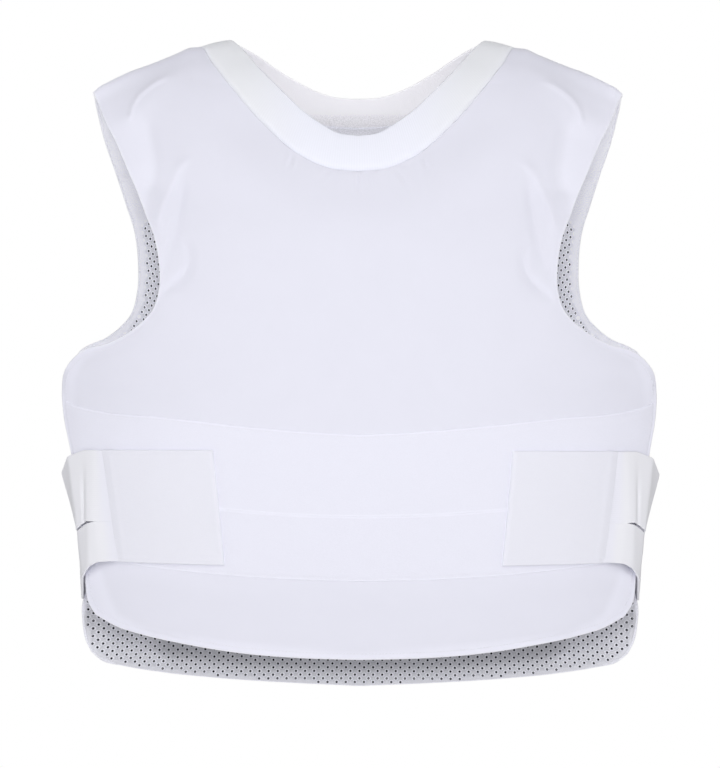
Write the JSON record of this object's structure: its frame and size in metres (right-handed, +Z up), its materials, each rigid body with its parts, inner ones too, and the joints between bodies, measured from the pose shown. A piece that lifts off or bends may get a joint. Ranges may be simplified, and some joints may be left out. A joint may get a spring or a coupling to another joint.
{
  "type": "stab vest",
  "caption": "White covert stab vest in its worn shape, with padded front and back, ribbed collar, mesh lining, loop strips, hook tabs and elastic side straps.",
  "frame": {"origin": "midway between the shoulders, in the plane of the shoulder seams, level with the collar's highest point", "axes": "+Z up the wearer's body, +X to the right of someone who looks at the front, the front faces -Y"},
  "size_m": [0.4686, 0.2048, 0.5183],
  "materials": {
    "shell_white": "matt woven cover, white with a cool tint",
    "mesh_white": "perforated knit lining",
    "rib_white": "ribbed knit",
    "loop_white": "brushed loop fabric",
    "hook_white": "stitched tab with a hook backing",
    "elastic_white": "ribbed elastic webbing"
  },
  "bodies": {
    "root": {"front_panel": "shell_white", "back_panel": "shell_white", "back_lining": "mesh_white", "collar": "rib_white", "waist_band_upper": "loop_white", "waist_band_lower": "loop_white", "hook_tab_left": "hook_white", "hook_tab_right": "hook_white", "strap_upper_left": "elastic_white", "strap_upper_right": "elastic_white", "strap_lower_left": "elastic_white", "strap_lower_right": "elastic_white"}
  },
  "joints": []
}
